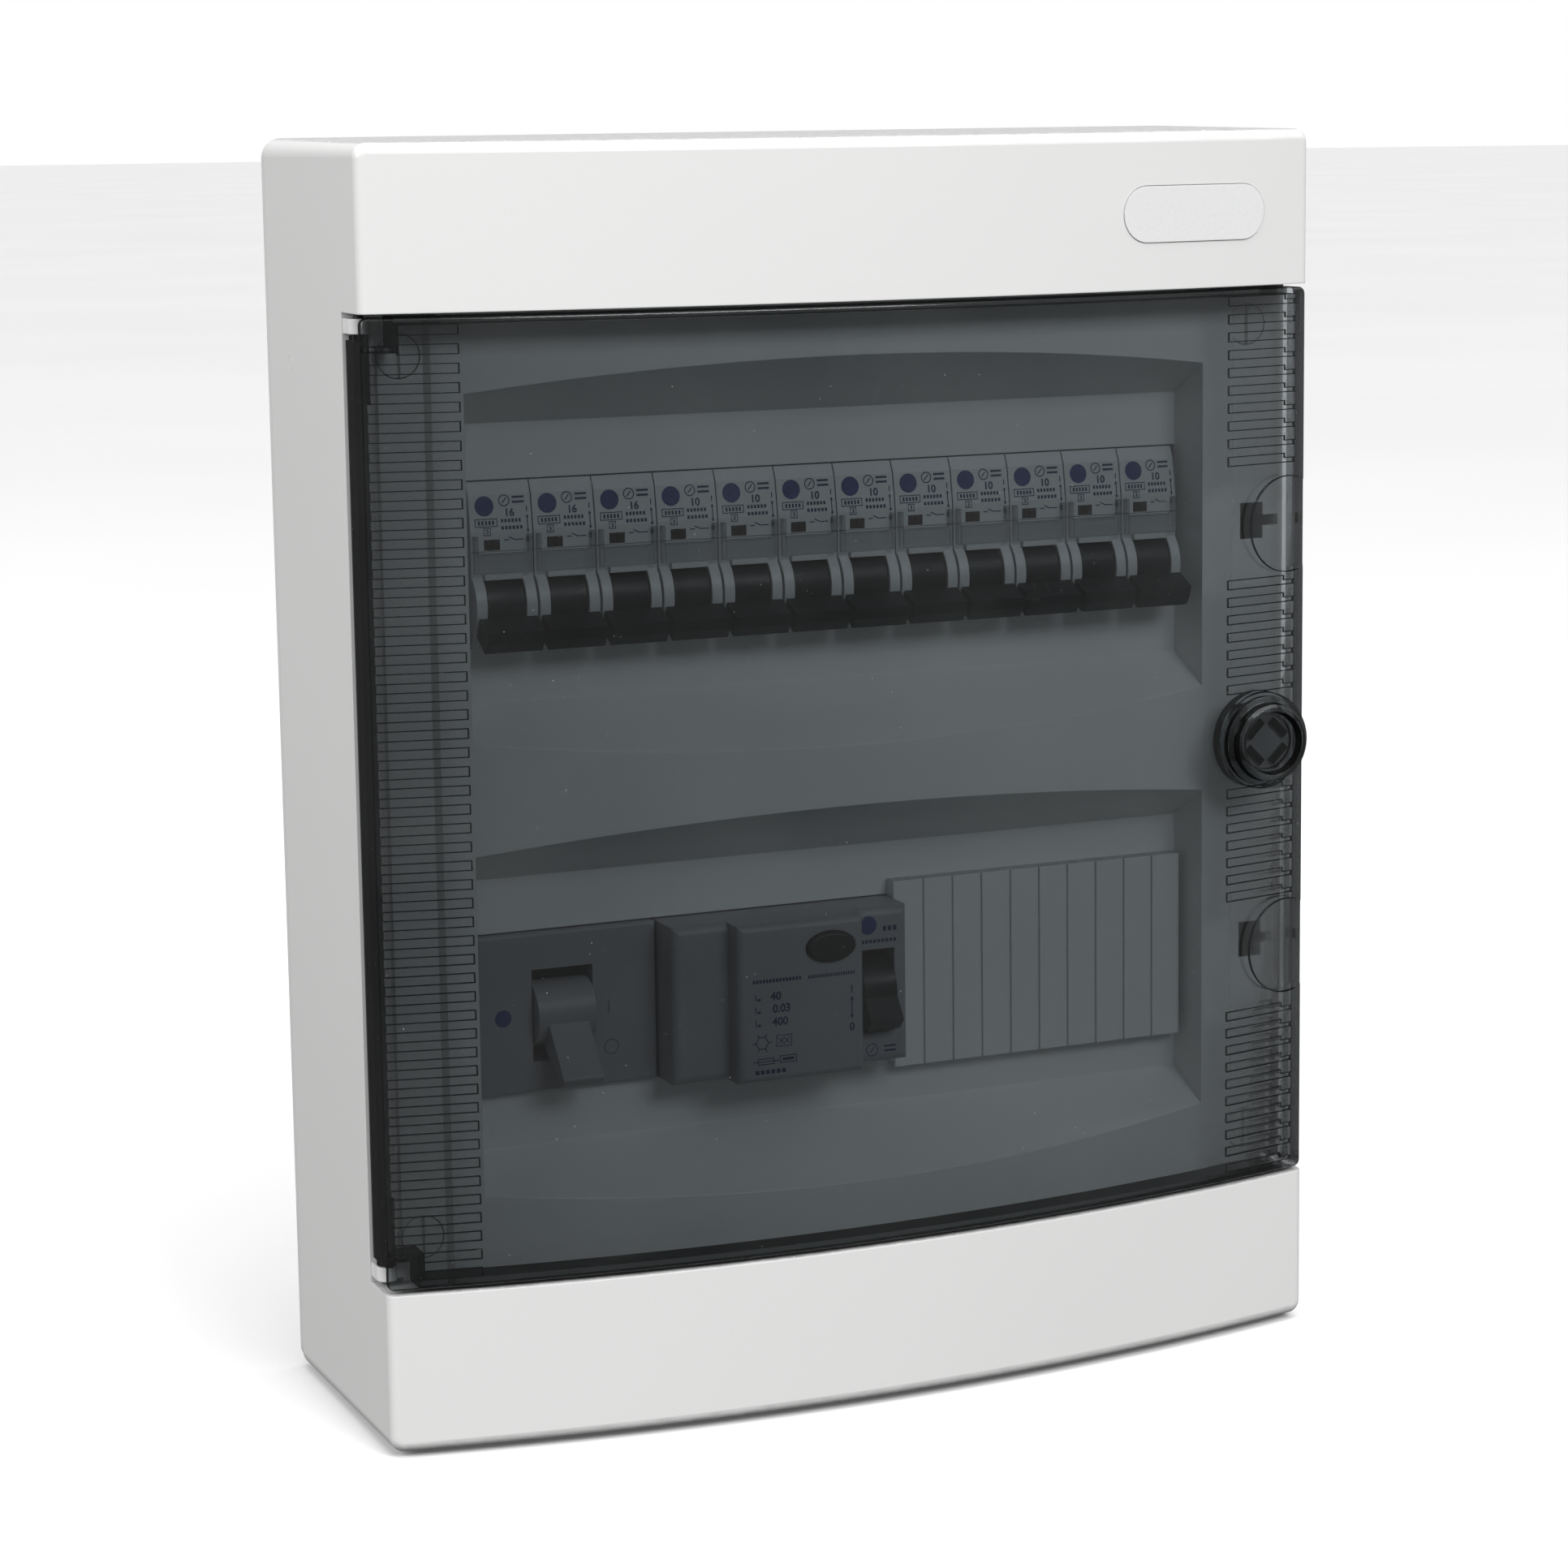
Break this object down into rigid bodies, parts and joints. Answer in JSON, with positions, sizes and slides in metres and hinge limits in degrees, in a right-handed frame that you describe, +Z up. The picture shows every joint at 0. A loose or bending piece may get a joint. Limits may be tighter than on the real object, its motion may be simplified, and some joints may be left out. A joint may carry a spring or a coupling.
{
  "type": "breaker panel box",
  "caption": "Surface-mounted two-row breaker panel box with a bowed cover, hinged smoked door, turn lock, breakers, main switch, residual current device and blanking strip.",
  "frame": {"origin": "centre of the flat back face that lies on the wall", "axes": "+Z up along the box's longest side, +Y into the wall, +X to the right seen from the front"},
  "size_m": [0.2864, 0.104, 0.3544],
  "materials": {
    "cover_white": "satin moulded light grey-white",
    "smoked_clear": "polished transparent smoked grey",
    "clear_plastic": "polished clear",
    "device_white": "fine moulded texture",
    "device_grey": "fine moulded texture",
    "black_plastic": "satin black",
    "dark_plastic": "dark grey moulded",
    "badge": "smooth light inlay",
    "zinc_steel": "zinc plated",
    "copper": "plain copper",
    "brass": "plain brass"
  },
  "bodies": {
    "box": {"badge_plate": "badge", "bar_screws": "zinc_steel", "base_box": "cover_white", "blank_strip": "cover_white", "busbar_comb": "copper", "cover_screws": "cover_white", "din_rail_lower": "zinc_steel", "din_rail_upper": "zinc_steel", "earth_bar": "brass", "front_cover": "cover_white", "main_switch_body": "device_grey", "mcb_body_01": "device_white", "mcb_body_02": "device_white", "mcb_body_03": "device_white", "mcb_body_04": "device_white", "mcb_body_05": "device_white", "mcb_body_06": "device_white", "mcb_body_07": "device_white", "mcb_body_08": "device_white", "mcb_body_09": "device_white", "mcb_body_10": "device_white", "mcb_body_11": "device_white", "mcb_body_12": "device_white", "mcb_label_covers": "clear_plastic", "neutral_bar": "brass", "rail_bracket_left": "cover_white", "rail_bracket_right": "cover_white", "rail_screws": "zinc_steel", "rcd_body": "device_grey", "terminal_bar_holders": "dark_plastic", "terminal_screws": "zinc_steel"},
    "door": {"door": "smoked_clear", "hinge_pins": "dark_plastic"},
    "lock": {"door_lock_knob": "smoked_clear", "door_lock_cam": "dark_plastic"},
    "main_handle": {"main_switch_handle": "device_grey"},
    "rcd_lever": {"rcd_toggle": "black_plastic"},
    "test_button": {"rcd_test_button": "black_plastic"},
    "toggle_01": {"mcb_toggle_01": "black_plastic"},
    "toggle_02": {"mcb_toggle_02": "black_plastic"},
    "toggle_03": {"mcb_toggle_03": "black_plastic"},
    "toggle_04": {"mcb_toggle_04": "black_plastic"},
    "toggle_05": {"mcb_toggle_05": "black_plastic"},
    "toggle_06": {"mcb_toggle_06": "black_plastic"},
    "toggle_07": {"mcb_toggle_07": "black_plastic"},
    "toggle_08": {"mcb_toggle_08": "black_plastic"},
    "toggle_09": {"mcb_toggle_09": "black_plastic"},
    "toggle_10": {"mcb_toggle_10": "black_plastic"},
    "toggle_11": {"mcb_toggle_11": "black_plastic"},
    "toggle_12": {"mcb_toggle_12": "black_plastic"}
  },
  "joints": [
    {"name": "door_hinge", "type": "hinge", "parent": "box", "child": "door", "pos_m": [-0.139, -0.077, 0], "axis": [0, 0, -1], "range_deg": [0, 110]},
    {"name": "lock_turn", "type": "hinge", "parent": "door", "child": "lock", "pos_m": [0.1255, -0.0923, 0], "axis": [0, 1, 0], "range_deg": [0, 90]},
    {"name": "toggle_01_throw", "type": "hinge", "parent": "box", "child": "toggle_01", "pos_m": [-0.099, -0.0645, 0.051], "axis": [-1, 0, 0], "range_deg": [0, 52]},
    {"name": "toggle_02_throw", "type": "hinge", "parent": "box", "child": "toggle_02", "pos_m": [-0.081, -0.0645, 0.051], "axis": [-1, 0, 0], "range_deg": [0, 52]},
    {"name": "toggle_03_throw", "type": "hinge", "parent": "box", "child": "toggle_03", "pos_m": [-0.063, -0.0645, 0.051], "axis": [-1, 0, 0], "range_deg": [0, 52]},
    {"name": "toggle_04_throw", "type": "hinge", "parent": "box", "child": "toggle_04", "pos_m": [-0.045, -0.0645, 0.051], "axis": [-1, 0, 0], "range_deg": [0, 52]},
    {"name": "toggle_05_throw", "type": "hinge", "parent": "box", "child": "toggle_05", "pos_m": [-0.027, -0.0645, 0.051], "axis": [-1, 0, 0], "range_deg": [0, 52]},
    {"name": "toggle_06_throw", "type": "hinge", "parent": "box", "child": "toggle_06", "pos_m": [-0.009, -0.0645, 0.051], "axis": [-1, 0, 0], "range_deg": [0, 52]},
    {"name": "toggle_07_throw", "type": "hinge", "parent": "box", "child": "toggle_07", "pos_m": [0.009, -0.0645, 0.051], "axis": [-1, 0, 0], "range_deg": [0, 52]},
    {"name": "toggle_08_throw", "type": "hinge", "parent": "box", "child": "toggle_08", "pos_m": [0.027, -0.0645, 0.051], "axis": [-1, 0, 0], "range_deg": [0, 52]},
    {"name": "toggle_09_throw", "type": "hinge", "parent": "box", "child": "toggle_09", "pos_m": [0.045, -0.0645, 0.051], "axis": [-1, 0, 0], "range_deg": [0, 52]},
    {"name": "toggle_10_throw", "type": "hinge", "parent": "box", "child": "toggle_10", "pos_m": [0.063, -0.0645, 0.051], "axis": [-1, 0, 0], "range_deg": [0, 52]},
    {"name": "toggle_11_throw", "type": "hinge", "parent": "box", "child": "toggle_11", "pos_m": [0.081, -0.0645, 0.051], "axis": [-1, 0, 0], "range_deg": [0, 52]},
    {"name": "toggle_12_throw", "type": "hinge", "parent": "box", "child": "toggle_12", "pos_m": [0.099, -0.0645, 0.051], "axis": [-1, 0, 0], "range_deg": [0, 52]},
    {"name": "main_switch_throw", "type": "hinge", "parent": "box", "child": "main_handle", "pos_m": [-0.0843, -0.066, -0.0634], "axis": [-1, 0, 0], "range_deg": [0, 76]},
    {"name": "rcd_throw", "type": "hinge", "parent": "box", "child": "rcd_lever", "pos_m": [0.0058, -0.076, -0.064], "axis": [-1, 0, 0], "range_deg": [0, 60]},
    {"name": "test_button_press", "type": "slide", "parent": "box", "child": "test_button", "axis": [0, 1, 0], "range_m": [0, 0.002], "stiffness_N_per_m": 300, "springref_m": -0.001}
  ]
}
